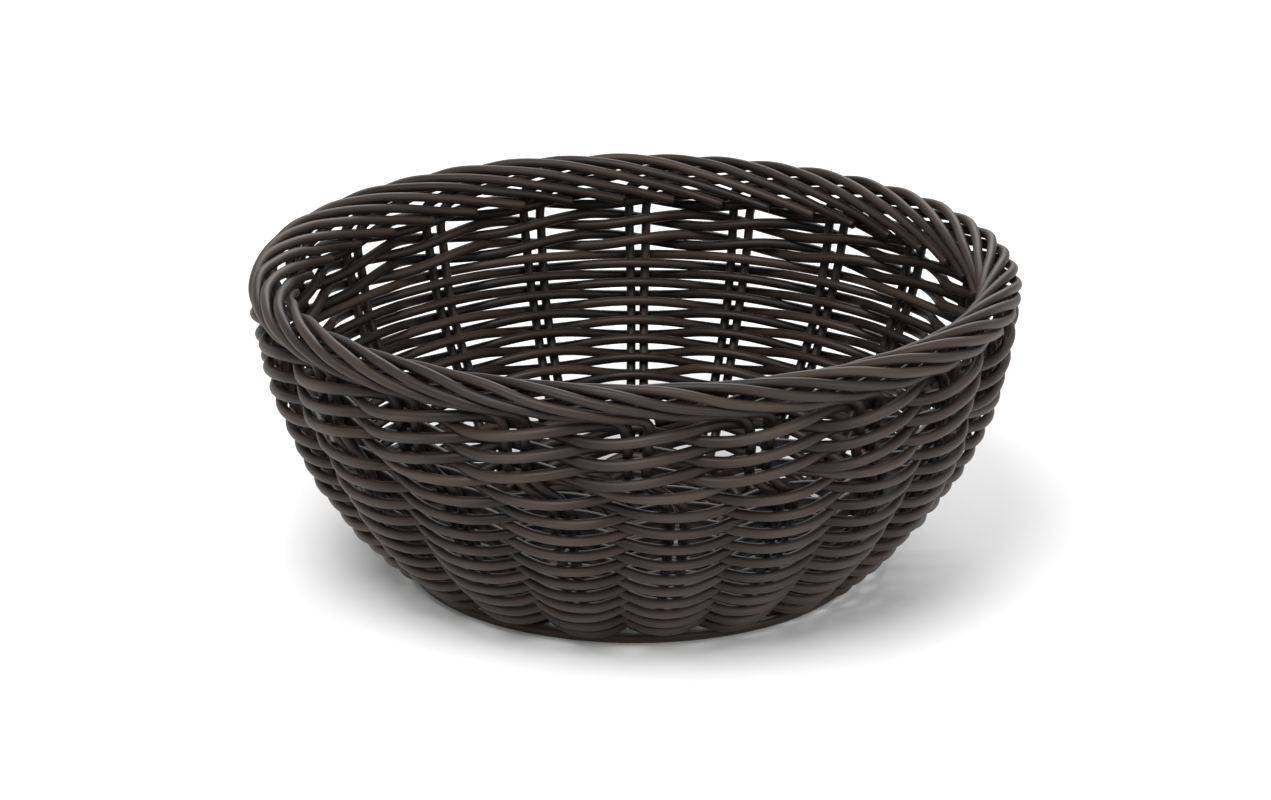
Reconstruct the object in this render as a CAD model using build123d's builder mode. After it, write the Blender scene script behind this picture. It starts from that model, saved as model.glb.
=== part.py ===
"""Round open fruit basket, woven by hand from round plastic cane.

Ten base sticks cross at the centre of the base and are tied by base rounds. Twenty pairs of stakes
start beside the ends of the base sticks and run up the bowl-shaped wall. Plain rounds of weavers go in
and out between the pairs, three twined rows lock them under the rim, and the stakes are folded over
clockwise into a rolled border. A ring of cane under the edge is the foot.

Origin: centre of the foot, on the surface that the basket stands on. +Z is up. Millimetres.
"""

from build123d import *
import math
import os

# ---- canes -------------------------------------------------------------------------------------
STAKE_DIA = 3.2  # stakes and base sticks
WEAVER_DIA = 3.3  # wall weavers, base rounds and foot ring
FIT_GAP = 0.06  # air left between two canes that touch on the real basket

# ---- overall shape -----------------------------------------------------------------------------
RIM_RADIUS = 117.0  # centre of the border roll
RIM_HEIGHT = 95.8  # centre of the border roll
WALL_RADIUS = 125.0  # the wall is one arc in section
WALL_TOP_OFFSET = 1.6  # of the top of that arc outside the centre of the border roll
WALL_TOP_TILT = 5.5  # degrees that the arc leans out under the border
WALL_BENDS = 7  # straight runs rounded into one another that make up the arc of a stake
FOOT_BEND = 5.0  # where a stake turns up from the base
FOOT_OVERHANG = 1.3  # of the foot ring beyond that bend
FOOT_FLAT = 0.3  # worn off the underside of the foot ring
STAKE_START = 41.0  # distance from the centre at which the stakes begin

# ---- weave -------------------------------------------------------------------------------------
STAKE_PAIRS = 20
FIRST_PAIR = 6.6 - 90  # degrees, the pair next to the front, which faces -Y
PAIR_SPACING = 1.375 * STAKE_DIA  # between the two stakes of a pair, centre to centre
TOP_ROW_DROP = 5.4  # from the top of the wall arc down to the highest row
TWINED_ROWS = 3  # under the border, of two strands that cross over each other between the pairs
ROW_GAP = 0.05  # air left between the crossings of two twined rows
ROUND_GAP = 0.1  # air left between two plain rounds, of one strand each
LOWEST_ROUND = 2.8  # the first plain round is at least this far up the wall
BASE_ROUNDS = 6
FIRST_ROUND_RADIUS = 30.0
LAST_ROUND_INSET = 5.0  # from the foot of the wall to the outermost base round
CROSS_REACH = 11.5  # how far the base sticks run straight from the centre before they fan out
FAN_RADIUS = 22.0
STRAND_END_GAP = 1.0  # between the two cut ends of a strand
BEND_RADIUS = 9.0  # of a weaver where it turns round a pair of stakes

# ---- border ------------------------------------------------------------------------------------
# Offsets in stake diameters, so that the roll grows with the cane.
BORDER_LIFT = 1.56  # top of the wall arc to the centre of the border roll
LEAN_HEIGHT = -2.06  # from the centre of the roll to where the stakes start to lean over
# At that height, from the middle of the pair and outwards from the centre of the roll.
LEAN_LEADING = (-1.72, 0.28)
LEAN_TRAILING = (0.91, 0.4)
# Way of one stake through the border roll: steps clockwise (one step is half a stake pair's pitch),
# then the offset outwards and upwards from the centre of the roll.
BORDER_WAY = [
    (1.00, 1.31, -1.06),
    (2.00, 1.69, 0.03),
    (3.00, 0.97, 1.16),
    (3.90, -0.41, 1.09),
    (4.75, -1.53, 0.41),
    (5.55, -1.63, -0.69),
    (6.00, -1.22, -1.38),
]
BORDER_BEND = 10.0  # where a stake leans over into the border
BORDER_RADIUS = 18.0  # in the roll itself

# ---- values worked out from those above --------------------------------------------------------
PAIR_PITCH = 360 / STAKE_PAIRS
WALL_TOP = (RIM_RADIUS + WALL_TOP_OFFSET, RIM_HEIGHT - BORDER_LIFT * STAKE_DIA)  # radius, height
ARC_CENTRE = (
    WALL_TOP[0] - WALL_RADIUS * math.cos(math.radians(WALL_TOP_TILT)),
    WALL_TOP[1] + WALL_RADIUS * math.sin(math.radians(WALL_TOP_TILT)),
)
STACK = (STAKE_DIA + WEAVER_DIA) / 2 + FIT_GAP  # stake centre to the centre of a cane across it
BASE_HEIGHT = WEAVER_DIA / 2 + STACK + FIT_GAP  # centre of the base sticks
# A weaver's swing each way across the wall, so that its bend just clears both stakes of a pair.
LAP = BEND_RADIUS - math.sqrt((BEND_RADIUS - STACK - FIT_GAP) ** 2 - (PAIR_SPACING / 2) ** 2)
TOUCH = (WEAVER_DIA + FIT_GAP) / 2
CROSSING = TOUCH * LAP / math.sqrt(LAP**2 - TOUCH**2)  # a strand's rise where it crosses its partner
TWINED_PITCH = 2 * (CROSSING + TOUCH) + ROW_GAP  # along the wall, so that the crossings clear
ROUND_PITCH = WEAVER_DIA + ROUND_GAP
FOOT_ANGLE = math.degrees(math.asin((BASE_HEIGHT - ARC_CENTRE[1]) / WALL_RADIUS))
FOOT_RADIUS = ARC_CENTRE[0] + WALL_RADIUS * math.cos(math.radians(FOOT_ANGLE))
WALL_CLIMB = math.radians(-WALL_TOP_TILT - FOOT_ANGLE) * WALL_RADIUS  # along the arc, foot to top
TOP_ROW = WALL_CLIMB - TOP_ROW_DROP
TOP_ROUND = TOP_ROW - (TWINED_ROWS - 0.5) * TWINED_PITCH - ROUND_PITCH / 2
PLAIN_ROWS = int((TOP_ROUND - LOWEST_ROUND) / ROUND_PITCH + 1) // 2  # of two rounds each
FIRST_ROUND = TOP_ROUND - (2 * PLAIN_ROWS - 1) * ROUND_PITCH
BASE_ROUND_PITCH = (FOOT_RADIUS - LAST_ROUND_INSET - FIRST_ROUND_RADIUS) / (BASE_ROUNDS - 1)
RUN_SHARE = 0.97  # of a straight run that the arcs at its two ends may use up
SWING_ROUNDS = 6  # of working out a corner and its rounding from each other


# ---- places ------------------------------------------------------------------------------------
def place(radius, degrees, height):
    """A point at this radius and height, at this angle around the basket."""
    angle = math.radians(degrees)
    return (radius * math.cos(angle), radius * math.sin(angle), height)


def pair_angle(number):
    return FIRST_PAIR + number * PAIR_PITCH


def side_angle(distance, radius):
    """The angle that a distance around the basket takes up at this radius."""
    return math.degrees(distance / radius)


def wall_angle(climb):
    """Angle on the wall's arc after this climb along it from the foot."""
    return FOOT_ANGLE + math.degrees(climb / WALL_RADIUS)


def corner_trim(turn, radius):
    """How far inside its corner a rounded path passes, for a turn in radians."""
    return radius * (1 / math.cos(turn / 2) - 1)


def corner_radii(points, wanted):
    """The wanted radius at each corner, or as much of it as the runs beside the corner allow."""
    runs = [Vector(*end) - Vector(*start) for start, end in zip(points, points[1:])]
    half_turns = [math.radians(a.get_angle(b)) / 2 for a, b in zip(runs, runs[1:])]
    tangents = [radius * math.tan(half) for radius, half in zip(wanted, half_turns)]
    used = [start + end for start, end in zip([0] + tangents, tangents + [0])]
    scales = [min(1, RUN_SHARE * run.length / length) for run, length in zip(runs, used)]
    return [radius * min(a, b) for radius, a, b in zip(wanted, scales, scales[1:])]


def round_cane(points, wanted, diameter):
    """A cane of round section along straight runs that are joined by arcs."""
    with BuildPart() as cane:
        with BuildLine() as way:
            FilletPolyline(*points, radius=corner_radii(points, wanted))
        path = way.wires()[0]
        with BuildSketch(Plane(origin=path @ 0, z_dir=path % 0)):
            Circle(diameter / 2)
        sweep(path=path)
    return cane.part


def write(solids, name):
    """Writes one node, which holds one cane or a set of like canes."""
    piece = solids[0] if len(solids) == 1 else Compound(children=solids)
    piece.label = name
    export_step(piece, f"parts/{name}.step")


# ---- base --------------------------------------------------------------------------------------
STICK_SPACING = STAKE_DIA + FIT_GAP
STICK_END = FOOT_RADIUS - 12.0
STICK_BEND = 12.0


def half_stick(lane, group, flip, lift):
    """Half of a base stick, from the cross outwards. A flipped half runs the other way."""
    sideways = lane * STICK_SPACING
    reach = math.hypot(CROSS_REACH, sideways)
    turn = math.degrees(math.atan2(sideways, CROSS_REACH))
    heading = group + 180 if flip else group
    sign = -1 if flip else 1
    return [
        place(reach, heading + sign * turn, BASE_HEIGHT + lift),
        place(FAN_RADIUS, heading + sign * lane * PAIR_PITCH, BASE_HEIGHT),
        place(STICK_END, heading + sign * lane * PAIR_PITCH, BASE_HEIGHT),
    ]


def base_stick(number):
    """One stick from edge to edge of the base: straight in the cross, fanned out beyond it."""
    arm = STAKE_PAIRS // 4
    lane = number % arm - arm // 2
    group = pair_angle(number - lane)
    lift = STICK_SPACING / 2 if number >= arm else -STICK_SPACING / 2
    ahead = half_stick(lane, group, False, lift)
    behind = half_stick(lane, group, True, lift)
    points = behind[::-1] + ahead
    return round_cane(points, [STICK_BEND] * (len(points) - 2), STAKE_DIA)


def ring(radius, height, diameter):
    """A closed hoop of cane round the axis of the basket."""
    with BuildPart() as hoop:
        with BuildSketch(Plane.XZ):
            with Locations((radius, height)):
                Circle(diameter / 2)
        revolve(axis=Axis.Z)
    return hoop.part


def base_round(number):
    """One round of the base weave: a hoop under the sticks and one over them."""
    radius = FIRST_ROUND_RADIUS + number * BASE_ROUND_PITCH
    return [
        ring(radius, BASE_HEIGHT - STACK, WEAVER_DIA),
        ring(radius, BASE_HEIGHT + STACK, WEAVER_DIA),
    ]


def foot_ring():
    """The hoop under the edge of the base, worn flat where it rests."""
    with BuildPart() as foot:
        with BuildSketch(Plane.XZ):
            with Locations((FOOT_RADIUS + FOOT_OVERHANG, WEAVER_DIA / 2 - FOOT_FLAT)):
                Circle(WEAVER_DIA / 2)
        revolve(axis=Axis.Z)
        split(bisect_by=Plane.XY, keep=Keep.TOP)
    return foot.part


# ---- wall --------------------------------------------------------------------------------------
def wall_point(climb, outwards, upwards, degrees):
    """A point of the wall, offset across the wall and along it from this climb up the arc."""
    angle = math.radians(wall_angle(climb))
    radius = ARC_CENTRE[0] + (WALL_RADIUS + outwards) * math.cos(angle) - upwards * math.sin(angle)
    height = ARC_CENTRE[1] + (WALL_RADIUS + outwards) * math.sin(angle) + upwards * math.cos(angle)
    return place(radius, degrees, height)


def swing(run, curve):
    """How far to the side a strand's corner at a pair must lie, so that its rounded bend swings by LAP.

    The run is the distance to the crossing with the partner, and the curve is the basket's own turn
    over that distance, taken as negative for a bend inside the basket.
    """
    corner = LAP
    for _ in range(SWING_ROUNDS):
        corner = LAP + corner_trim(2 * math.atan2(corner, run) + curve, BEND_RADIUS)
    return corner


def wall_strand(climb, rise, start_pair):
    """A strand around the wall: inside its first pair of stakes, outside the next, and so on.

    Between the pairs it passes this far over its own middle on its way out, and as far under it on its
    way in.
    """
    radius = wall_point(climb, 0, 0, 0)[0]
    quarter = math.radians(PAIR_PITCH / 2)
    run = math.hypot(radius * quarter, rise)
    outside = swing(run, quarter)
    inside = swing(run, -quarter)
    steps = [(-inside, 0), (0, -rise), (outside, 0), (0, rise)]
    end_gap = side_angle(STRAND_END_GAP / 2, radius)
    count = 2 * STAKE_PAIRS
    points = []
    for step in range(count + 1):
        outwards, upwards = steps[step % 4]
        degrees = pair_angle(start_pair) + step * PAIR_PITCH / 2
        if step == 0:
            degrees += end_gap
        if step == count:
            degrees -= end_gap
        points.append(wall_point(climb, outwards, upwards, degrees))
    return round_cane(points, [BEND_RADIUS] * (count - 1), WEAVER_DIA)


def plain_row(row):
    """Two rounds of plain weave, one above the other, which pass the pairs on opposite sides."""
    rounds = (2 * row, 2 * row + 1)
    return [wall_strand(FIRST_ROUND + number * ROUND_PITCH, 0, number) for number in rounds]


def twined_row(row):
    """Two strands that pass the pairs on opposite sides and cross over each other between them."""
    climb = TOP_ROW - (TWINED_ROWS - 1 - row) * TWINED_PITCH
    return [wall_strand(climb, CROSSING, 2 * row), wall_strand(climb, CROSSING, 2 * row + 1)]


# ---- stakes ------------------------------------------------------------------------------------
def wall_bends(reach, side, centre):
    """The corners of a stake's way up the wall, which its arcs round off into the wall's own arc."""
    half_step = reach / WALL_BENDS / WALL_RADIUS / 2
    bulge = WALL_RADIUS * (1 / math.cos(half_step) - 1)
    points = []
    for bend in range(WALL_BENDS):
        climb = reach * (bend + 0.5) / WALL_BENDS
        radius = wall_point(climb, bulge, 0, 0)[0]
        degrees = centre + side_angle(side * PAIR_SPACING / 2, radius)
        points.append(wall_point(climb, bulge, 0, degrees))
    return points


def stake(number, side):
    """One stake, from beside its base stick, up the wall and through the border."""
    centre = pair_angle(number)
    beside = side * STICK_SPACING
    edge = STICK_END + STAKE_DIA
    points = [
        place(STAKE_START, centre + side_angle(beside, STAKE_START), BASE_HEIGHT),
        place(edge, centre + side_angle(beside, edge), BASE_HEIGHT),
        place(FOOT_RADIUS, centre + side_angle(side * PAIR_SPACING / 2, FOOT_RADIUS), BASE_HEIGHT),
    ]
    wanted = [STICK_BEND, FOOT_BEND]
    # The leading stake leans over as soon as it leaves the top row; the other stays upright.
    reach = TOP_ROW if side < 0 else WALL_CLIMB
    points += wall_bends(reach, side, centre)
    wanted += [WALL_RADIUS] * WALL_BENDS
    if side < 0:
        points.append(wall_point(TOP_ROW, 0, 0, centre + side_angle(-PAIR_SPACING / 2, RIM_RADIUS)))
        wanted.append(BORDER_BEND)
    along, outwards = LEAN_LEADING if side < 0 else LEAN_TRAILING
    radius = RIM_RADIUS + outwards * STAKE_DIA
    height = RIM_HEIGHT + LEAN_HEIGHT * STAKE_DIA
    points.append(place(radius, centre + side_angle(along * STAKE_DIA, radius), height))
    wanted.append(BORDER_BEND)
    nominal = centre + side * PAIR_PITCH / 4
    for steps, outwards, upwards in BORDER_WAY:
        radius = RIM_RADIUS + outwards * STAKE_DIA
        height = RIM_HEIGHT + upwards * STAKE_DIA
        points.append(place(radius, nominal - steps * PAIR_PITCH / 2, height))
        wanted.append(BORDER_RADIUS)
    return round_cane(points, wanted[:-1], STAKE_DIA)


# ---- the pieces --------------------------------------------------------------------------------
os.makedirs("parts", exist_ok=True)

for number in range(STAKE_PAIRS // 2):
    write([base_stick(number)], f"base_stick_{number + 1:02d}")

for number in range(BASE_ROUNDS):
    write(base_round(number), f"base_round_{number + 1}")

write([foot_ring()], "foot_ring")

for number in range(STAKE_PAIRS):
    write([stake(number, -1), stake(number, 1)], f"stake_pair_{number + 1:02d}")

wall_rows = [plain_row(row) for row in range(PLAIN_ROWS)]
wall_rows += [twined_row(row) for row in range(TWINED_ROWS)]
for number, strands in enumerate(wall_rows):
    write(strands, f"wall_row_{number + 1:02d}")
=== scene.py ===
"""Looks of the round fruit basket, which is woven by hand from round plastic cane.

The script is laid out as a Blender add-on and is run as a script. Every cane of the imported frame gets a
smooth, slightly irregular tube that stands for its node: woven wall rows, stakes that fold over into the
border, base sticks, base rounds and the foot ring. Metres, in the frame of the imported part: +Z is up and
the front faces -Y.
"""

import math

import bpy
import numpy as np
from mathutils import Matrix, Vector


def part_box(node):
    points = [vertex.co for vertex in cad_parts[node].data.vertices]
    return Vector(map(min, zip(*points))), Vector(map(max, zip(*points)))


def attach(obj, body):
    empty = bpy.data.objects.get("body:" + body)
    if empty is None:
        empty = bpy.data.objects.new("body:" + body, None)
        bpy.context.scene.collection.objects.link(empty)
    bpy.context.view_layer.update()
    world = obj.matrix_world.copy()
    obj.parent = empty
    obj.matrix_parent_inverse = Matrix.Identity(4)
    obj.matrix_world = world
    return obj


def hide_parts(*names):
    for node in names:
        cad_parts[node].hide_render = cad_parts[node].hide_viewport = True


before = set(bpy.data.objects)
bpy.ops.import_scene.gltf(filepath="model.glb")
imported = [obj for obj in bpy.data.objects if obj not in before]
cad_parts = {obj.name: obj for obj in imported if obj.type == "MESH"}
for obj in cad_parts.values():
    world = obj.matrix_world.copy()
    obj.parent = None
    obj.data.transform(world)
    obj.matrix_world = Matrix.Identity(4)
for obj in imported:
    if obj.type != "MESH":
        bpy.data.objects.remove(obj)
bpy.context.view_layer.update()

bl_info = {
    "name": "Woven cane fruit basket",
    "version": (1, 0, 0),
    "blender": (4, 5, 0),
    "location": "3D View > Sidebar > Basket",
    "description": "Builds the canes, the finish and the studio of a woven fruit basket",
    "category": "Object",
}

MM = 0.001
SEED = 7


# ---- what the frame says ------------------------------------------------------------------------
def nodes_named(start):
    """Names of the frame's nodes that begin like this, in order."""
    return sorted(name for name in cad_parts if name.startswith(start))


def node_points(name):
    """Every vertex of a node."""
    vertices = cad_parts[name].data.vertices
    flat = np.empty(3 * len(vertices), np.float32)
    vertices.foreach_get("co", flat)
    return flat.reshape(-1, 3).astype(float)


def node_radii(name):
    """Smallest and largest distance of a node from the basket's axis."""
    radii = np.hypot(*node_points(name)[:, :2].T)
    return radii.min(), radii.max()


def node_direction(name, below):
    """Angle around the basket of the part of a node that lies under this height, in radians."""
    points = node_points(name)
    low = points[points[:, 2] < below]
    return math.atan2(low[:, 1].mean(), low[:, 0].mean())


PAIR_NODES = nodes_named("stake_pair_")
ROW_NODES = nodes_named("wall_row_")
ROUND_NODES = nodes_named("base_round_")
STICK_NODES = nodes_named("base_stick_")
PAIRS = len(PAIR_NODES)
ROWS = len(ROW_NODES)
PITCH = 2 * math.pi / PAIRS
FIRST_PAIR = node_direction(PAIR_NODES[0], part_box(ROW_NODES[2])[0].z)


def fitted(values):
    """A smooth curve through one value for each wall row, which also runs on beyond the last rows."""
    return np.polynomial.Polynomial.fit(np.arange(len(values)), values, 3)


ROW_HEIGHTS = [sum(corner.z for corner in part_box(name)) / 2 for name in ROW_NODES]
ROW_RADII = [sum(node_radii(name)) / 2 for name in ROW_NODES]
wall_height = fitted(ROW_HEIGHTS)
wall_radius = fitted(ROW_RADII)


# ---- settings that a user would change ----------------------------------------------------------
class CaneSizes(bpy.types.PropertyGroup):
    """Thickness of the canes and how evenly they are worked."""

    weaver: bpy.props.FloatProperty(
        name="Weaver", description="Diameter of a weaver", default=3.3 * MM, unit="LENGTH"
    )
    twined: bpy.props.FloatProperty(
        name="Twined",
        description="Diameter of a weaver in the twined rows",
        default=3.6 * MM,
        unit="LENGTH",
    )
    stake: bpy.props.FloatProperty(
        name="Stake", description="Diameter of a stake", default=3.2 * MM, unit="LENGTH"
    )
    unevenness: bpy.props.FloatProperty(
        name="Unevenness", description="How far hand work strays", default=0.28 * MM, unit="LENGTH"
    )


class WeaveSizes(bpy.types.PropertyGroup):
    """Where the pairs of stakes stand in the weave."""

    low_spacing: bpy.props.FloatProperty(
        name="Low spacing", description="Between the stakes of a pair", default=4.4 * MM, unit="LENGTH"
    )
    high_spacing: bpy.props.FloatProperty(
        name="High spacing", description="The same in the top rows", default=6.0 * MM, unit="LENGTH"
    )
    twined_rows: bpy.props.IntProperty(
        name="Twined rows", description="Rows under the border whose strands cross over", default=3
    )
    lean: bpy.props.FloatProperty(
        name="Lean",
        description="How far the stakes lean clockwise under the border at the front",
        default=math.radians(6.3),
        subtype="ANGLE",
    )
    drift: bpy.props.FloatProperty(
        name="Drift",
        description="How far the pairs have strayed clockwise at the back",
        default=math.radians(7.0),
        subtype="ANGLE",
    )


class CaneColours(bpy.types.PropertyGroup):
    """Colours of the plastic cane."""

    dark: bpy.props.FloatVectorProperty(
        name="Dark", description="Darkest canes", default=(0.0110, 0.0070, 0.0050), subtype="COLOR"
    )
    light: bpy.props.FloatVectorProperty(
        name="Light", description="Lightest canes", default=(0.042, 0.028, 0.0205), subtype="COLOR"
    )
    worn: bpy.props.FloatVectorProperty(
        name="Worn",
        description="Where hands and shelves rub",
        default=(0.085, 0.065, 0.054),
        subtype="COLOR",
    )
    roughness: bpy.props.FloatProperty(
        name="Roughness", description="Of the satin surface", default=0.46, subtype="FACTOR"
    )


class StudioSettings(bpy.types.PropertyGroup):
    """The camera and the light."""

    elevation: bpy.props.FloatProperty(
        name="Elevation",
        description="Camera above the horizon",
        default=math.radians(20.1),
        subtype="ANGLE",
    )
    distance: bpy.props.FloatProperty(
        name="Distance", description="From the basket to the camera", default=1.327, unit="LENGTH"
    )
    lens: bpy.props.FloatProperty(
        name="Lens", description="Focal length in millimetres", default=115.9
    )
    aim_height: bpy.props.FloatProperty(
        name="Aim height", description="Height the camera looks at", default=53.6 * MM, unit="LENGTH"
    )
    floor_colour: bpy.props.FloatVectorProperty(
        name="Floor", description="Colour of the floor", default=(0.93, 0.93, 0.93), subtype="COLOR"
    )
    key_power: bpy.props.FloatProperty(
        name="Key light", description="Power of the soft box overhead", default=20.0, unit="POWER"
    )
    surround: bpy.props.FloatProperty(
        name="Surround", description="Strength of the white surroundings", default=0.6
    )


# ---- places on the basket -----------------------------------------------------------------------
def smooth_step(value):
    """Rises smoothly from 0 to 1 while the value does."""
    value = np.clip(value, 0, 1)
    return value * value * (3 - 2 * value)


def frontness(angle):
    """1 at the front of the basket, 0 at the back."""
    return (1 - np.sin(angle)) / 2


def pair_angle(pair, row, weave):
    """Angle of a pair of stakes at a row. Both may be fractions and arrays."""
    plain = FIRST_PAIR + pair * PITCH
    front = frontness(plain)
    lean_start = ROWS - weave.twined_rows - 2
    risen = smooth_step((row - lean_start) / 2)
    return plain - weave.drift * (1 - front) - weave.lean * front**1.5 * risen


def spacing_at(row, weave):
    """Distance between the two stakes of a pair at a row."""
    share = smooth_step((row - ROWS / 2) / (ROWS / 2 - 1))
    return weave.low_spacing + (weave.high_spacing - weave.low_spacing) * share


def around(radius, angle, height):
    """Points at this radius, angle and height, as rows of an array."""
    radius, angle, height = np.broadcast_arrays(radius, angle, height)
    return np.stack([radius * np.cos(angle), radius * np.sin(angle), height], axis=-1)


def wall_frame(row):
    """Radius and height of the wall at a row, and its outward normal as (radial, up) numbers."""
    along_radius = wall_radius.deriv()(row)
    along_height = wall_height.deriv()(row)
    length = np.hypot(along_radius, along_height)
    return wall_radius(row), wall_height(row), along_height / length, -along_radius / length


def wall_points(row, angle, outwards, upwards):
    """Points on the wall, offset across it and along it."""
    radius, height, normal_radius, normal_height = wall_frame(row)
    return around(
        radius + outwards * normal_radius - upwards * normal_height,
        angle,
        height + outwards * normal_height + upwards * normal_radius,
    )


def wandering(rng, where, size, waves):
    """A smooth closed random line around the basket, for angles in radians."""
    total = np.zeros_like(where)
    for wave in waves:
        total += np.sin(wave * where + rng.uniform(0, 2 * math.pi)) * rng.uniform(0.4, 1.0)
    return total * size / math.sqrt(len(waves))


# ---- paths --------------------------------------------------------------------------------------
def even(points, step):
    """The same way with points at even distances."""
    lengths = np.concatenate([[0], np.cumsum(np.linalg.norm(np.diff(points, axis=0), axis=1))])
    count = max(2, round(lengths[-1] / step) + 1)
    wanted = np.linspace(0, lengths[-1], count)
    return np.stack([np.interp(wanted, lengths, points[:, axis]) for axis in range(3)], axis=-1)


def curve_through(controls, step, fine=12):
    """A centripetal Catmull-Rom curve through the control points, at even distances."""
    controls = np.asarray(controls, float)
    first = 2 * controls[0] - controls[1]
    last = 2 * controls[-1] - controls[-2]
    line = np.vstack([first, controls, last])
    knots = np.concatenate([[0], np.cumsum(np.sqrt(np.linalg.norm(np.diff(line, axis=0), axis=1)))])
    made = []
    for index in range(1, len(line) - 2):
        p0, p1, p2, p3 = line[index - 1 : index + 3]
        t0, t1, t2, t3 = knots[index - 1 : index + 3]
        t = np.linspace(t1, t2, fine, endpoint=False)[:, None]
        a1 = (t1 - t) / (t1 - t0) * p0 + (t - t0) / (t1 - t0) * p1
        a2 = (t2 - t) / (t2 - t1) * p1 + (t - t1) / (t2 - t1) * p2
        a3 = (t3 - t) / (t3 - t2) * p2 + (t - t2) / (t3 - t2) * p3
        b1 = (t2 - t) / (t2 - t0) * a1 + (t - t0) / (t2 - t0) * a2
        b2 = (t3 - t) / (t3 - t1) * a2 + (t - t1) / (t3 - t1) * a3
        made.append((t2 - t) / (t2 - t1) * b1 + (t - t1) / (t2 - t1) * b2)
    made.append(controls[-1][None])
    return even(np.vstack(made), step)


# ---- mesh of a cane -----------------------------------------------------------------------------
CANE_SIDES = 14
CANE_STEP = 1.5 * MM
END_CHAMFER = 0.3 * MM
END_SHARE = 0.82  # of the radius that is left at the cut face
GRAIN_SHIFT = 30.0  # metres of grain that the canes are cut from at random
CANE_LAYERS = (
    ("grain", "FLOAT_VECTOR", "vector"),
    ("tone", "FLOAT", "value"),
    ("rub", "FLOAT", "value"),
)


def path_frames(points):
    """Tangents of a path and, turned along it without twist, two directions across it."""
    tangents = np.gradient(points, axis=0)
    tangents /= np.linalg.norm(tangents, axis=1)[:, None]
    across = np.empty_like(points)
    start = np.cross(tangents[0], (0.0, 0.0, 1.0))
    if np.linalg.norm(start) < 0.1:
        start = np.cross(tangents[0], (1.0, 0.0, 0.0))
    across[0] = start / np.linalg.norm(start)
    for index in range(1, len(points)):
        side = across[index - 1] - tangents[index] * across[index - 1].dot(tangents[index])
        across[index] = side / np.linalg.norm(side)
    return tangents, across, np.cross(tangents, across)


def cane(points, diameter, rng, rub=None, closed=False):
    """One cane along a path: its vertices, faces and the values that the finish reads.

    rub is one vector for each point. Its direction says which side of the cane is rubbed, and its length
    how much.
    """
    tangents, across, other = path_frames(points)
    travelled = np.concatenate([[0], np.cumsum(np.linalg.norm(np.diff(points, axis=0), axis=1))])
    angles = np.linspace(0, 2 * math.pi, CANE_SIDES, endpoint=False)
    centres, radii = points, np.full(len(points), diameter / 2)
    if not closed:
        first = points[0] - tangents[0] * END_CHAMFER
        last = points[-1] + tangents[-1] * END_CHAMFER
        centres = np.vstack([first, points, last])
        radii = np.concatenate([[radii[0] * END_SHARE], radii, [radii[-1] * END_SHARE]])
        pad = [0, *range(len(points)), len(points) - 1]
        across, other, travelled = across[pad], other[pad], travelled[pad]
        rub = None if rub is None else rub[pad]
    turned = (
        np.cos(angles)[None, :, None] * across[:, None, :]
        + np.sin(angles)[None, :, None] * other[:, None, :]
    )
    vertices = centres[:, None, :] + radii[:, None, None] * turned
    rings = len(centres)
    grain = np.empty((rings, CANE_SIDES, 3))
    grain[..., 0] = radii[:, None] * np.cos(angles)[None, :]
    grain[..., 1] = radii[:, None] * np.sin(angles)[None, :]
    grain[..., 2] = travelled[:, None] + rng.uniform(0, GRAIN_SHIFT)
    rubbed = np.zeros((rings, CANE_SIDES))
    if rub is not None:
        rubbed = np.clip((turned * rub[:, None, :]).sum(axis=2), 0, 1)
    corner = np.arange(rings * CANE_SIDES).reshape(rings, CANE_SIDES)
    low = corner if closed else corner[:-1]
    high = np.roll(corner, -1, axis=0) if closed else corner[1:]
    faces = np.stack(
        [low, np.roll(low, -1, axis=1), np.roll(high, -1, axis=1), high], axis=-1
    ).reshape(-1, 4)
    caps = [] if closed else [corner[0][::-1], corner[-1]]
    return {
        "vertices": vertices.reshape(-1, 3),
        "faces": faces,
        "caps": caps,
        "grain": grain.reshape(-1, 3),
        "tone": np.full(rings * CANE_SIDES, rng.uniform(0, 1)),
        "rub": rubbed.reshape(-1),
    }


def make_piece(name, canes, material, slot, *nodes):
    """One object from its canes, which rides on the basket and stands for these nodes."""
    vertices, faces, offset = [], [], 0
    for one in canes:
        vertices.append(one["vertices"])
        faces += (one["faces"] + offset).tolist()
        faces += [(cap + offset).tolist() for cap in one["caps"]]
        offset += len(one["vertices"])
    mesh = bpy.data.meshes.new(name)
    mesh.from_pydata(np.vstack(vertices).tolist(), [], faces)
    for key, kind, field in CANE_LAYERS:
        layer = mesh.attributes.new(f"cane_{key}", kind, "POINT")
        values = np.concatenate([one[key] for one in canes])
        layer.data.foreach_set(field, np.ascontiguousarray(values, np.float32).ravel())
    mesh.shade_smooth()
    mesh.materials.append(material)
    mesh.update()
    piece = bpy.data.objects.new(name, mesh)
    bpy.context.scene.collection.objects.link(piece)
    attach(piece, "root")
    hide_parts(*nodes)
    return piece


# ---- finish of the cane -------------------------------------------------------------------------
STREAKS_PER_METRE = 1500
STREAK_STRETCH = 0.018
BLOTCHES_PER_METRE = 55
STREAK_BUMP = 0.12 * MM
STREAK_STRENGTH = 0.5
SPECULAR = 0.24
STREAK_SHARE = 0.75  # of the streaks in the colour, next to the tone of the whole cane
BLOTCH_SHARE = 0.6  # of the blotches in the colour
SHADE_SCALE = 0.55  # brings the sum of the three back to the range of the colours
DARK_END = 0.45  # of that range, up to which a cane is darkest
SMOOTHER = 0.09  # below the stated roughness, in the smoothest streaks
ROUGHER = 0.12  # above it, in the roughest


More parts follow.
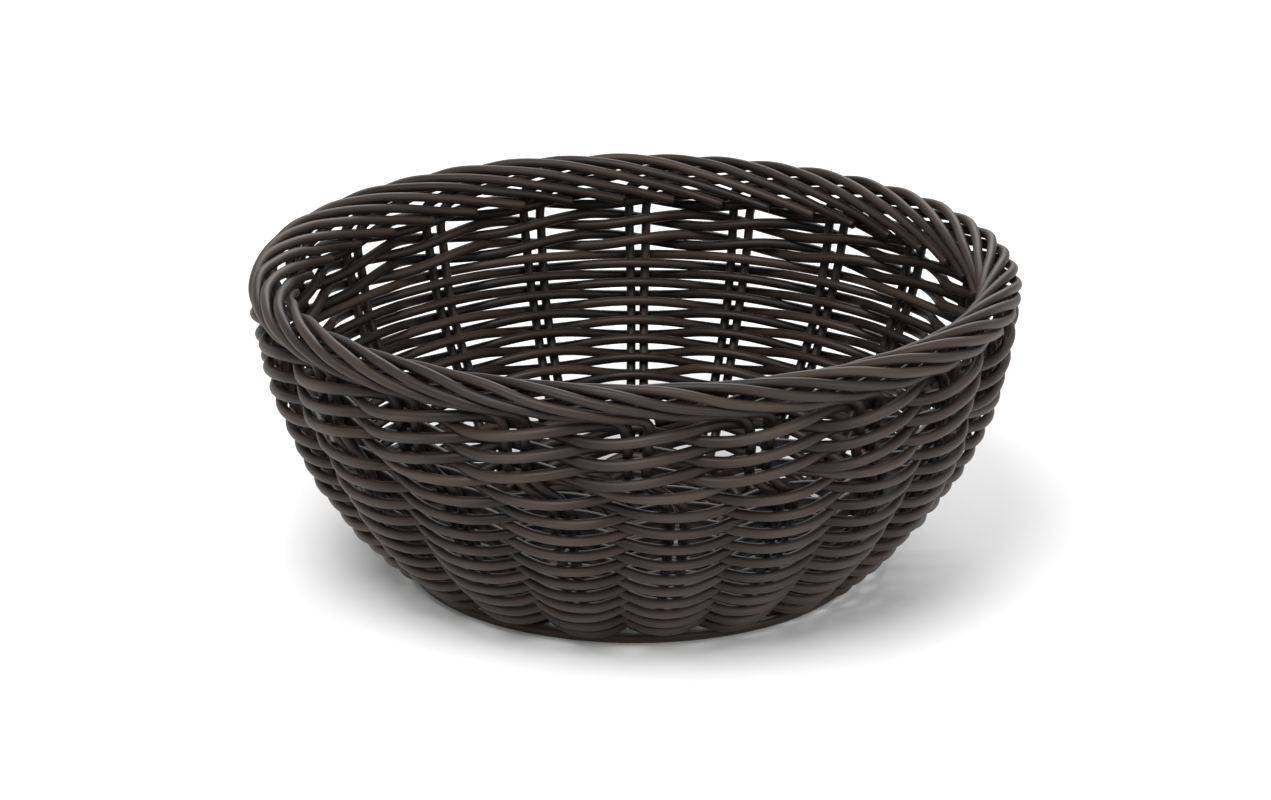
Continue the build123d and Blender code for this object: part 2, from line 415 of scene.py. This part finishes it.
def add_node(tree, kind, **values):
    """A shader node with these input values."""
    node = tree.nodes.new(kind)
    for key, value in values.items():
        node.inputs[key.replace("_", " ")].default_value = value
    return node


def cane_material(name, colours):
    """Satin extruded plastic: streaked along the cane, uneven from cane to cane, and rubbed lighter."""
    material = bpy.data.materials.get(name)
    if material:
        return material
    material = bpy.data.materials.new(name)
    material.use_nodes = True
    tree = material.node_tree
    link = tree.links.new
    shader = tree.nodes["Principled BSDF"]
    shader.inputs["Specular IOR Level"].default_value = SPECULAR

    grain = tree.nodes.new("ShaderNodeAttribute")
    grain.attribute_name = "cane_grain"
    tone = tree.nodes.new("ShaderNodeAttribute")
    tone.attribute_name = "cane_tone"
    rub = tree.nodes.new("ShaderNodeAttribute")
    rub.attribute_name = "cane_rub"

    stretch = add_node(tree, "ShaderNodeMapping", Scale=(1.0, 1.0, STREAK_STRETCH))
    link(grain.outputs["Vector"], stretch.inputs["Vector"])
    streaks = add_node(tree, "ShaderNodeTexNoise", Scale=STREAKS_PER_METRE, Detail=4.0, Roughness=0.6)
    link(stretch.outputs["Vector"], streaks.inputs["Vector"])
    blotches = add_node(tree, "ShaderNodeTexNoise", Scale=BLOTCHES_PER_METRE, Detail=3.0, Roughness=0.55)
    link(grain.outputs["Vector"], blotches.inputs["Vector"])

    shade = add_node(tree, "ShaderNodeMath")
    shade.operation = "MULTIPLY_ADD"
    link(streaks.outputs["Fac"], shade.inputs[0])
    shade.inputs[1].default_value = STREAK_SHARE
    link(tone.outputs["Fac"], shade.inputs[2])
    mixed = add_node(tree, "ShaderNodeMath")
    mixed.operation = "MULTIPLY_ADD"
    link(blotches.outputs["Fac"], mixed.inputs[0])
    mixed.inputs[1].default_value = BLOTCH_SHARE
    link(shade.outputs[0], mixed.inputs[2])
    body = tree.nodes.new("ShaderNodeValToRGB")
    body.color_ramp.elements[0].position = DARK_END
    body.color_ramp.elements[0].color = (*colours.dark, 1)
    body.color_ramp.elements[1].position = 1.0
    body.color_ramp.elements[1].color = (*colours.light, 1)
    scaled = add_node(tree, "ShaderNodeMath")
    scaled.operation = "MULTIPLY"
    scaled.inputs[1].default_value = SHADE_SCALE
    link(mixed.outputs[0], scaled.inputs[0])
    link(scaled.outputs[0], body.inputs["Fac"])

    worn_share = add_node(tree, "ShaderNodeMath")
    worn_share.operation = "MULTIPLY"
    link(rub.outputs["Fac"], worn_share.inputs[0])
    link(streaks.outputs["Fac"], worn_share.inputs[1])
    worn = add_node(tree, "ShaderNodeMix")
    worn.data_type = "RGBA"
    link(worn_share.outputs[0], worn.inputs["Factor"])
    link(body.outputs["Color"], worn.inputs[6])
    worn.inputs[7].default_value = (*colours.worn, 1)
    link(worn.outputs[2], shader.inputs["Base Color"])

    rough = tree.nodes.new("ShaderNodeMapRange")
    rough.inputs["To Min"].default_value = colours.roughness - SMOOTHER
    rough.inputs["To Max"].default_value = colours.roughness + ROUGHER
    link(streaks.outputs["Fac"], rough.inputs["Value"])
    link(rough.outputs["Result"], shader.inputs["Roughness"])

    bump = add_node(tree, "ShaderNodeBump", Strength=STREAK_STRENGTH, Distance=STREAK_BUMP)
    link(streaks.outputs["Fac"], bump.inputs["Height"])
    link(bump.outputs["Normal"], shader.inputs["Normal"])
    return material


# ---- wall rows ----------------------------------------------------------------------------------
PEAK_FLATTENING = 0.05
SAMPLES_PER_PAIR = 24
STRAND_END_GAP = 0.12  # of a pair's pitch, between the two cut ends of a strand
RUB_ON_STITCH = 0.8
RUB_UPWARDS = 0.25  # of the rub on a stitch that is turned up
LIFT_SHARE = 0.5  # of the unevenness that goes along the wall
SAG = 0.25 * MM  # how far a strand dips outside the stakes and rises inside them


def rounded_wave(phase):
    """A wave between -1 and 1 whose peaks are a little flatter than a cosine's."""
    return (1 + PEAK_FLATTENING) * np.cos(phase) - PEAK_FLATTENING * np.cos(3 * phase)


def row_pitch(row):
    """Distance along the wall from this row to the next."""
    return np.hypot(wall_radius.deriv()(row), wall_height.deriv()(row))


def row_swing(row, twined, weaver):
    """How far a strand of this row swings to each side of the wall."""
    inner, outer = node_radii(ROW_NODES[row])
    # The two rounds of a plain row lie half a pitch apart on the slope.
    on_slope = 0 if twined else wall_radius.deriv()(row) / 2
    return (outer - inner - weaver - on_slope) / 2 / wall_frame(row)[2]


def wall_strand(row, partner, sizes, weave, rng):
    """One of the two strands of a row: inside one pair of stakes, outside the next.

    In a plain row the two lie one above the other. In a twined row they cross over between the pairs.
    """
    twined = row >= ROWS - weave.twined_rows
    pitch = row_pitch(row)
    start = partner + STRAND_END_GAP / 2
    pair = np.linspace(start, start + PAIRS - STRAND_END_GAP, PAIRS * SAMPLES_PER_PAIR)
    phase = math.pi * (pair + partner + 1)
    angle = pair_angle(pair, row, weave)
    loose = wandering(rng, angle, sizes.unevenness, range(5, 16, 2))
    lift = wandering(rng, angle, sizes.unevenness * LIFT_SHARE, range(3, 12, 2))
    outwards = row_swing(row, twined, sizes.weaver) * rounded_wave(phase) + loose
    if twined:
        upwards = (pitch - sizes.weaver) / 2 * np.sin(phase)
    else:
        upwards = (partner - 0.5) * pitch / 2 - SAG * np.cos(phase)
    points = wall_points(row, angle, outwards, upwards + lift)
    crown = np.clip(np.cos(phase), 0, 1) ** 2 * RUB_ON_STITCH
    rub = around(crown, angle, crown * RUB_UPWARDS)
    thickness = sizes.twined if twined else sizes.weaver
    return cane(even(points, CANE_STEP), thickness, rng, resampled(points, rub))


def resampled(points, values):
    """Values at the points of a path, carried over to the path's even points."""
    lengths = np.concatenate([[0], np.cumsum(np.linalg.norm(np.diff(points, axis=0), axis=1))])
    count = max(2, round(lengths[-1] / CANE_STEP) + 1)
    wanted = np.linspace(0, lengths[-1], count)
    return np.stack([np.interp(wanted, lengths, values[:, axis]) for axis in range(3)], axis=-1)


class BASKET_OT_wall_rows(bpy.types.Operator):
    """Weaves the rows of the wall, each from two strands"""

    bl_idname = "basket.wall_rows"
    bl_label = "Wall rows"

    def execute(self, context):
        scene = context.scene
        rng = np.random.default_rng(SEED)
        finish = cane_material("weaver cane", scene.basket_colours)
        for row, node in enumerate(ROW_NODES):
            strands = [
                wall_strand(row, partner, scene.basket_canes, scene.basket_weave, rng)
                for partner in (0, 1)
            ]
            make_piece(f"woven_{node}", strands, finish, "weaver_cane", node)
        return {"FINISHED"}


# ---- stakes and border --------------------------------------------------------------------------
BASE_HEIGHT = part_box(PAIR_NODES[0])[0].z
STAKE_START = node_radii(PAIR_NODES[0])[0]
# Heights and reaches of the border, in stake diameters.
ROLL_TOP = 1.16 + 0.5
ROLL_REACH = 1.69 + 0.5
LEAN_HEIGHT = -2.06
LEAN_LEADING = (-1.72, 0.28)
LEAN_TRAILING = (0.91, 0.40)
# Way of one stake through the roll: steps clockwise, one step being half a pair's pitch, then the
# offset outwards and upwards from the centre of the roll in stake diameters.
BORDER_WAY = [
    (1.00, 1.31, -1.06),
    (2.00, 1.69, 0.03),
    (3.00, 0.97, 1.16),
    (3.90, -0.41, 1.09),
    (4.75, -1.53, 0.41),
    (5.55, -1.80, -0.60),
    (6.40, -1.85, -1.70),
    (7.20, -1.95, -2.70),
]
STICK_GAP = 0.06 * MM
BESIDE_STICK = (0.0, 0.35, 0.7)  # shares of the way along which a stake lies beside its base stick
BESIDE_END = 12 * MM  # of that way, before the foot of the wall
CLOSE_UP = 4.5 * MM  # before the foot of the wall, where the two stakes have come together
STAKE_ROWS = 0.8  # rows between two control points of a stake
ROWS_CLEAR = 0.6  # rows between the last of them and the ends of the wall
ROLL_HALF = 6 * MM  # height over which the rub of hands fades out under the roll
RUB_REACH = 8 * MM  # from the centre of the roll to where the rub is full
RUB_ON_BORDER = 0.6


def foot_row(sizes):
    """Row number, below the first, at which the wall starts from the base."""
    level = BASE_HEIGHT + sizes.stake / 2
    rows = np.linspace(-2, 1, 301)
    return float(np.interp(level, wall_height(rows), rows))


def rim_centre(sizes):
    """Radius and height of the centre of the border roll."""
    top = max(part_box(name)[1].z for name in PAIR_NODES)
    reach = max(node_radii(name)[1] for name in PAIR_NODES)
    return reach - ROLL_REACH * sizes.stake, top - ROLL_TOP * sizes.stake


def border_points(number, side, sizes, weave, rng):
    """Control points of a stake from the top row on, through the border."""
    rim_radius, rim_height = rim_centre(sizes)
    top = ROWS - 1
    centre = pair_angle(number, top, weave)
    along, outwards = LEAN_LEADING if side < 0 else LEAN_TRAILING
    radius = rim_radius + outwards * sizes.stake
    points = [around(radius, centre + along * sizes.stake / radius, rim_height + LEAN_HEIGHT * sizes.stake)]
    for steps, outwards, upwards in BORDER_WAY:
        stray = rng.normal(0, sizes.unevenness / 2, 3)
        # The neighbours that the stake meets lean with their own pairs.
        angle = pair_angle(number + side / 4 - steps / 2, top, weave)
        points.append(
            around(
                rim_radius + outwards * sizes.stake + stray[0],
                angle + stray[1] / rim_radius,
                rim_height + upwards * sizes.stake + stray[2],
            )
        )
    return points


def stake_path(number, side, sizes, weave, rng):
    """One stake, from beside its base stick, up the wall and through the border."""
    level = BASE_HEIGHT + sizes.stake / 2
    foot = foot_row(sizes)
    foot_radius = float(wall_radius(foot))
    centre = pair_angle(number, 0, weave)
    beside = side * (sizes.stake + STICK_GAP)
    controls = []
    for share in BESIDE_STICK:
        radius = STAKE_START + (foot_radius - BESIDE_END - STAKE_START) * share
        controls.append(around(radius, centre + beside / radius, level))
    near = foot_radius - CLOSE_UP
    controls.append(around(near, centre + side * weave.low_spacing / 2 / near, level))
    for row in np.arange(foot + ROWS_CLEAR, ROWS - ROWS_CLEAR, STAKE_ROWS):
        radius = float(wall_radius(row))
        angle = pair_angle(number, row, weave) + side * spacing_at(row, weave) / 2 / radius
        controls.append(wall_points(row, angle, 0, 0))
    controls += border_points(number, side, sizes, weave, rng)
    return curve_through(controls, CANE_STEP)


def border_rub(points, sizes):
    """The top and the outer side of the roll are rubbed by hands."""
    rim_radius, rim_height = rim_centre(sizes)
    radii = np.hypot(points[:, 0], points[:, 1])
    up = points[:, 2] - rim_height
    out = radii - rim_radius
    in_roll = smooth_step((points[:, 2] - rim_height + ROLL_HALF) / ROLL_HALF)
    amount = in_roll * RUB_ON_BORDER / RUB_REACH
    return around(out * amount, np.arctan2(points[:, 1], points[:, 0]), np.clip(up, 0, None) * amount)


class BASKET_OT_stakes(bpy.types.Operator):
    """Sets up the pairs of stakes and folds them over into the border"""

    bl_idname = "basket.stakes"
    bl_label = "Stakes and border"

    def execute(self, context):
        scene = context.scene
        sizes = scene.basket_canes
        rng = np.random.default_rng(SEED + 1)
        finish = cane_material("stake cane", scene.basket_colours)
        for number, node in enumerate(PAIR_NODES):
            pair = []
            for side in (-1, 1):
                points = stake_path(number, side, sizes, scene.basket_weave, rng)
                pair.append(cane(points, sizes.stake, rng, border_rub(points, sizes)))
            make_piece(f"folded_{node}", pair, finish, "stake_cane", node)
        return {"FINISHED"}


# ---- base ---------------------------------------------------------------------------------------
CROSS_REACH = 11.5 * MM
FAN_RADIUS = 22.0 * MM
RUB_ON_BASE = 0.5
CROSS_SHARE = 0.35  # of the cross's reach, at which a stick gets its first control point
FAN_LIFT = 0.15  # of the sticks' lift in the cross that is left where they have fanned out
ROUND_SHIFT = 4  # pairs from the start of one base round to the start of the next
ROUND_STARTS = 3


def half_stick(lane, group, flip, lift, sizes, weave):
    """Half of a base stick, from the cross outwards. A flipped half runs the other way."""
    level = BASE_HEIGHT + sizes.stake / 2
    end = node_radii(STICK_NODES[0])[1]
    sideways = lane * (sizes.stake + STICK_GAP)
    sign = -1 if flip else 1
    heading = pair_angle(group + (PAIRS / 2 if flip else 0), 0, weave)
    outer = pair_angle(group + sign * lane + (PAIRS / 2 if flip else 0), 0, weave)
    points = []
    for reach in (CROSS_SHARE * CROSS_REACH, CROSS_REACH):
        turn = math.atan2(sideways, reach)
        points.append(around(math.hypot(reach, sideways), heading + sign * turn, level + lift))
    points.append(around(FAN_RADIUS, outer, level + lift * FAN_LIFT))
    points += [around(radius, outer, level) for radius in np.linspace(FAN_RADIUS, end, 5)[1:]]
    return points


class BASKET_OT_base_sticks(bpy.types.Operator):
    """Lays the base sticks in a cross and fans them out"""

    bl_idname = "basket.base_sticks"
    bl_label = "Base sticks"

    def execute(self, context):
        scene = context.scene
        sizes = scene.basket_canes
        rng = np.random.default_rng(SEED + 2)
        finish = cane_material("stake cane", scene.basket_colours)
        arm = len(STICK_NODES) // 2
        for number, node in enumerate(STICK_NODES):
            lane = number % arm - arm // 2
            lift = (sizes.stake + STICK_GAP) / 2 * (1 if number >= arm else -1)
            ahead = half_stick(lane, number - lane, False, lift, sizes, scene.basket_weave)
            behind = half_stick(lane, number - lane, True, lift, sizes, scene.basket_weave)
            points = curve_through(behind[::-1] + ahead, CANE_STEP)
            make_piece(f"fanned_{node}", [cane(points, sizes.stake, rng)], finish, "stake_cane", node)
        return {"FINISHED"}


def base_strand(number, partner, sizes, weave, rng):
    """One of the two strands of a base round: over one group of sticks, under the next."""
    radius = sum(node_radii(ROUND_NODES[number])) / 2
    low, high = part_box(ROUND_NODES[number])
    swing = (high.z - low.z - sizes.weaver) / 2
    middle = (high.z + low.z) / 2
    rise = (sizes.weaver + STICK_GAP) / 2
    start = number % ROUND_STARTS * ROUND_SHIFT + 1 - partner + STRAND_END_GAP / 2
    pair = np.linspace(start, start + PAIRS - STRAND_END_GAP, PAIRS * SAMPLES_PER_PAIR)
    phase = math.pi * (pair + partner)
    angle = pair_angle(pair, 0, weave)
    out = wandering(rng, angle, sizes.unevenness, range(2, 9, 2))
    points = around(radius + rise * np.sin(phase) + out, angle, middle + swing * rounded_wave(phase))
    crown = np.clip(-np.cos(phase), 0, 1) ** 2 * RUB_ON_BASE
    rub = around(0 * crown, angle, -crown)
    return cane(even(points, CANE_STEP), sizes.weaver, rng, resampled(points, rub))


class BASKET_OT_base_rounds(bpy.types.Operator):
    """Twines the rounds of the base over and under the sticks"""

    bl_idname = "basket.base_rounds"
    bl_label = "Base rounds"

    def execute(self, context):
        scene = context.scene
        rng = np.random.default_rng(SEED + 3)
        finish = cane_material("weaver cane", scene.basket_colours)
        for number, node in enumerate(ROUND_NODES):
            strands = [
                base_strand(number, partner, scene.basket_canes, scene.basket_weave, rng)
                for partner in (0, 1)
            ]
            make_piece(f"twined_{node}", strands, finish, "weaver_cane", node)
        return {"FINISHED"}


RING_SAMPLES = 300


class BASKET_OT_foot_ring(bpy.types.Operator):
    """Puts the ring of cane under the edge, worn flat where it rests"""

    bl_idname = "basket.foot_ring"
    bl_label = "Foot ring"

    def execute(self, context):
        scene = context.scene
        sizes = scene.basket_canes
        rng = np.random.default_rng(SEED + 4)
        finish = cane_material("weaver cane", scene.basket_colours)
        low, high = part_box("foot_ring")
        radius = sum(node_radii("foot_ring")) / 2
        middle = high.z - sizes.weaver / 2
        angle = np.linspace(0, 2 * math.pi, RING_SAMPLES, endpoint=False)
        wobble = wandering(rng, angle, sizes.unevenness, (2, 3, 5, 7))
        points = around(radius + wobble, angle, middle)
        rub = np.tile((0.0, 0.0, -1.0), (len(points), 1))
        ring = cane(points, sizes.weaver, rng, rub, closed=True)
        ring["vertices"][:, 2] = np.maximum(ring["vertices"][:, 2], low.z)
        make_piece("worn_foot_ring", [ring], finish, "weaver_cane", "foot_ring")
        return {"FINISHED"}


# ---- studio -------------------------------------------------------------------------------------
FLOOR_REACH = 6.0
SENSOR_WIDTH = 36.0
LIGHTS = [
    # name, place, size, share of the key light's power
    ("key light", (-0.35, -0.75, 1.35), 0.9, 1.0),
    ("fill light", (1.2, -0.9, 0.7), 0.9, 0.35),
    ("back light", (0.2, 1.3, 1.0), 1.1, 0.6),
]


def floor_material(colour):
    """Matt paper with a faint mottle."""
    material = bpy.data.materials.new("floor paper")
    material.use_nodes = True
    tree = material.node_tree
    shader = tree.nodes["Principled BSDF"]
    shader.inputs["Roughness"].default_value = 0.9
    shader.inputs["Specular IOR Level"].default_value = 0.1
    mottle = add_node(tree, "ShaderNodeTexNoise", Scale=3.0, Detail=2.0)
    ramp = tree.nodes.new("ShaderNodeValToRGB")
    ramp.color_ramp.elements[0].color = tuple(0.99 * part for part in colour) + (1,)
    ramp.color_ramp.elements[1].color = (*colour, 1)
    tree.links.new(mottle.outputs["Fac"], ramp.inputs["Fac"])
    tree.links.new(ramp.outputs["Color"], shader.inputs["Base Color"])
    return material


def aim(thing, place, target):
    """Puts a camera or light at a place, looking at a target."""
    thing.location = place
    direction = np.subtract(target, place)
    yaw = math.atan2(-direction[0], direction[1])
    pitch = math.atan2(direction[2], math.hypot(direction[0], direction[1]))
    thing.rotation_euler = (math.pi / 2 + pitch, 0, yaw)


class BASKET_OT_studio(bpy.types.Operator):
    """Sets up the floor, the soft light and the camera"""

    bl_idname = "basket.studio"
    bl_label = "Studio"

    def execute(self, context):
        scene = context.scene
        studio = scene.basket_studio
        target = (0.0, 0.0, studio.aim_height)

        corners = [(x * FLOOR_REACH, y * FLOOR_REACH, 0.0) for x, y in ((-1, -1), (1, -1), (1, 1), (-1, 1))]
        mesh = bpy.data.meshes.new("floor")
        mesh.from_pydata(corners, [], [(0, 1, 2, 3)])
        mesh.materials.append(floor_material(studio.floor_colour))
        floor = bpy.data.objects.new("floor", mesh)
        scene.collection.objects.link(floor)

        for name, place, size, share in LIGHTS:
            light = bpy.data.lights.new(name, "AREA")
            light.shape = "DISK"
            light.size = size
            light.energy = studio.key_power * share
            lamp = bpy.data.objects.new(name, light)
            scene.collection.objects.link(lamp)
            aim(lamp, place, target)

        world = bpy.data.worlds.new("white studio")
        world.use_nodes = True
        world.node_tree.nodes["Background"].inputs["Color"].default_value = (1, 1, 1, 1)
        world.node_tree.nodes["Background"].inputs["Strength"].default_value = studio.surround
        scene.world = world
        scene.view_settings.view_transform = "Standard"

        camera = bpy.data.cameras.new("camera")
        camera.lens = studio.lens
        camera.sensor_width = SENSOR_WIDTH
        view = bpy.data.objects.new("camera", camera)
        scene.collection.objects.link(view)
        back = studio.distance * math.cos(studio.elevation)
        up = studio.aim_height + studio.distance * math.sin(studio.elevation)
        aim(view, (0.0, -back, up), target)
        scene.camera = view
        return {"FINISHED"}


# ---- panel and registration ---------------------------------------------------------------------
STEPS = (
    BASKET_OT_wall_rows,
    BASKET_OT_stakes,
    BASKET_OT_base_sticks,
    BASKET_OT_base_rounds,
    BASKET_OT_foot_ring,
    BASKET_OT_studio,
)
SETTINGS = {
    "basket_canes": CaneSizes,
    "basket_weave": WeaveSizes,
    "basket_colours": CaneColours,
    "basket_studio": StudioSettings,
}


class BASKET_PT_panel(bpy.types.Panel):
    """Lists the steps that build the basket"""

    bl_idname = "BASKET_PT_panel"
    bl_label = "Basket"
    bl_space_type = "VIEW_3D"
    bl_region_type = "UI"
    bl_category = "Basket"

    def draw(self, context):
        for name in SETTINGS:
            box = self.layout.box()
            group = getattr(context.scene, name)
            for key in group.bl_rna.properties.keys():
                if key not in ("name", "rna_type"):
                    box.prop(group, key)
        for step in STEPS:
            self.layout.operator(step.bl_idname)


def register():
    """Registers the settings, the steps and the panel."""
    for name, kind in SETTINGS.items():
        bpy.utils.register_class(kind)
        setattr(bpy.types.Scene, name, bpy.props.PointerProperty(type=kind))
    for kind in (*STEPS, BASKET_PT_panel):
        bpy.utils.register_class(kind)


def unregister():
    """Takes them all away again."""
    for kind in (BASKET_PT_panel, *reversed(STEPS)):
        bpy.utils.unregister_class(kind)
    for name, kind in SETTINGS.items():
        delattr(bpy.types.Scene, name)
        bpy.utils.unregister_class(kind)


def main():
    """Builds everything in order."""
    register()
    bpy.ops.basket.wall_rows()
    bpy.ops.basket.stakes()
    bpy.ops.basket.base_sticks()
    bpy.ops.basket.base_rounds()
    bpy.ops.basket.foot_ring()
    bpy.ops.basket.studio()


if __name__ == "__main__":
    main()
